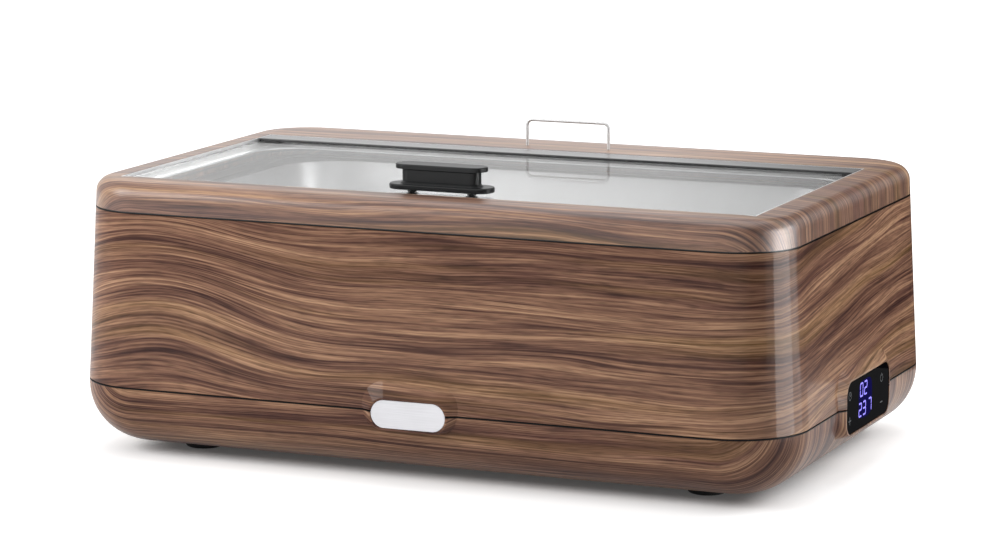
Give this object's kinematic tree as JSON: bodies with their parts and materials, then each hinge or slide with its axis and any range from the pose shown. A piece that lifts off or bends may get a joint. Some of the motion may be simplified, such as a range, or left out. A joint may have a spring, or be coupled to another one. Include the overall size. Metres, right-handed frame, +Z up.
{
  "type": "electric chafing dish",
  "caption": "Long electric chafing dish with a wood-decor housing, a recessed hinged glass lid, a removable food pan over a heated water tank and a touch panel.",
  "frame": {"origin": "on the table under the middle of the housing", "axes": "+Z up; -Y is the long front with the badge plate; +X is the short side with the control panel"},
  "size_m": [0.6042, 0.3892, 0.2442],
  "materials": {
    "wood_decor": "satin",
    "black_metal": "satin",
    "steel": "satin",
    "plated_steel": "polished",
    "silver_plate": "brushed",
    "black_glass": "polished",
    "clear_glass": "polished",
    "black_rubber": "matte",
    "black_plastic": "matte",
    "aluminium": "satin",
    "circuit_board": "satin",
    "winding": "satin",
    "white_plastic": "satin"
  },
  "bodies": {
    "base": {"base_tray": "wood_decor", "body_shell": "wood_decor", "foot_1": "black_rubber", "foot_2": "black_rubber", "foot_3": "black_rubber", "foot_4": "black_rubber", "foot_screws": "plated_steel", "housing_screws": "plated_steel", "badge_plate": "silver_plate", "water_pan": "steel", "heater_plate": "aluminium", "heater_element": "black_metal", "element_terminals": "white_plastic", "heater_clamps": "steel", "heater_studs": "plated_steel", "clamp_nuts": "plated_steel", "shield_nuts": "plated_steel", "shield_spacers": "steel", "heat_shield": "steel", "thermal_cutout": "black_plastic", "cutout_screws": "plated_steel", "temperature_sensor": "plated_steel", "panel_glass": "black_glass", "display_module": "white_plastic", "touch_springs": "plated_steel", "control_board": "circuit_board", "panel_carrier": "black_plastic", "carrier_screws": "plated_steel", "power_inlet": "black_plastic", "inlet_pins": "plated_steel", "inlet_screws": "plated_steel", "power_board": "circuit_board", "board_screws": "plated_steel", "transformer": "winding", "relay": "black_plastic", "capacitors": "black_plastic", "terminal_block": "white_plastic"},
    "frame": {"top_frame": "wood_decor", "frame_liner": "steel", "liner_screws": "plated_steel", "lid_bumpers": "black_rubber", "hinge_bracket_left": "black_plastic", "hinge_bracket_right": "black_plastic", "bracket_screws": "plated_steel", "wire_loop": "plated_steel", "loop_nuts": "plated_steel"},
    "lid": {"lid_glass": "clear_glass", "lid_rail": "black_metal", "hinge_pins": "plated_steel", "grip_base": "black_metal", "grip_top": "black_metal", "grip_spacers": "black_plastic", "grip_washers": "black_rubber", "grip_screws": "plated_steel"},
    "pan": {"food_pan": "steel"}
  },
  "joints": [
    {"name": "lid_hinge", "type": "hinge", "parent": "frame", "child": "lid", "pos_m": [0, 0.1015, 0.2167], "axis": [-1, 0, 0], "range_deg": [0, 105]},
    {"name": "frame_lift", "type": "slide", "parent": "base", "child": "frame", "axis": [0, 0, 1], "range_m": [0, 0.25]},
    {"name": "pan_lift", "type": "slide", "parent": "base", "child": "pan", "axis": [0, 0, 1], "range_m": [0, 0.1]}
  ],
  "couplings": [
    {"joint": "pan_lift", "follows": "frame_lift", "ratio": 0.4}
  ]
}
